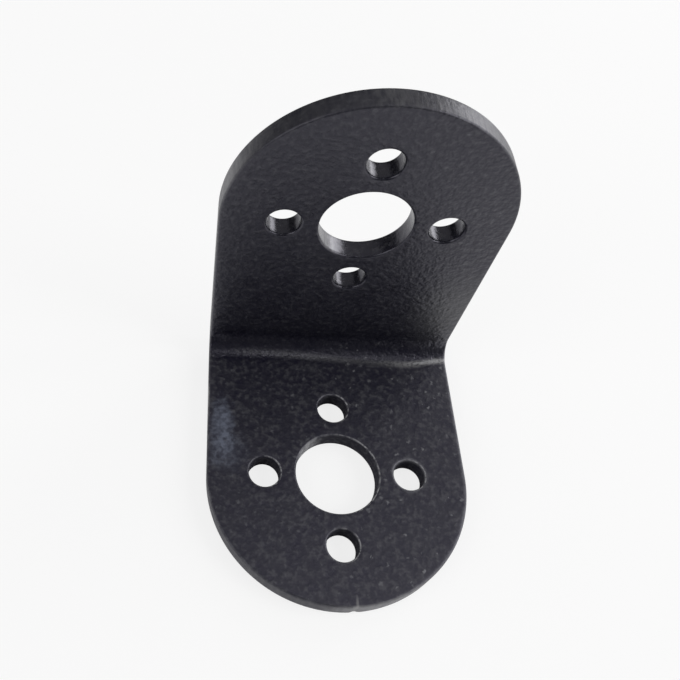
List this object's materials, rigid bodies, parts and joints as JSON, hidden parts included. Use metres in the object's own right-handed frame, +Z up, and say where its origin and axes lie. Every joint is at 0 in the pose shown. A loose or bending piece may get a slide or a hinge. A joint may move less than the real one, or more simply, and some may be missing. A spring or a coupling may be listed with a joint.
{
  "type": "l-shaped servo bracket",
  "caption": "L-shaped servo bracket: a black-coated sheet-metal strip with round ends, folded at a right angle, with a hub bore inside a ring of screw holes in each leg.",
  "frame": {"origin": "centre of the base's hub bore, on the underside that the bracket rests on", "axes": "+Z up from the base, +Y from the base's round end towards the upright, +X across the strip"},
  "size_m": [0.025, 0.029, 0.033],
  "materials": {
    "black_coat": "fine-grained satin black coating, thin at the edges"
  },
  "bodies": {
    "root": {"bracket": "black_coat"}
  },
  "joints": []
}
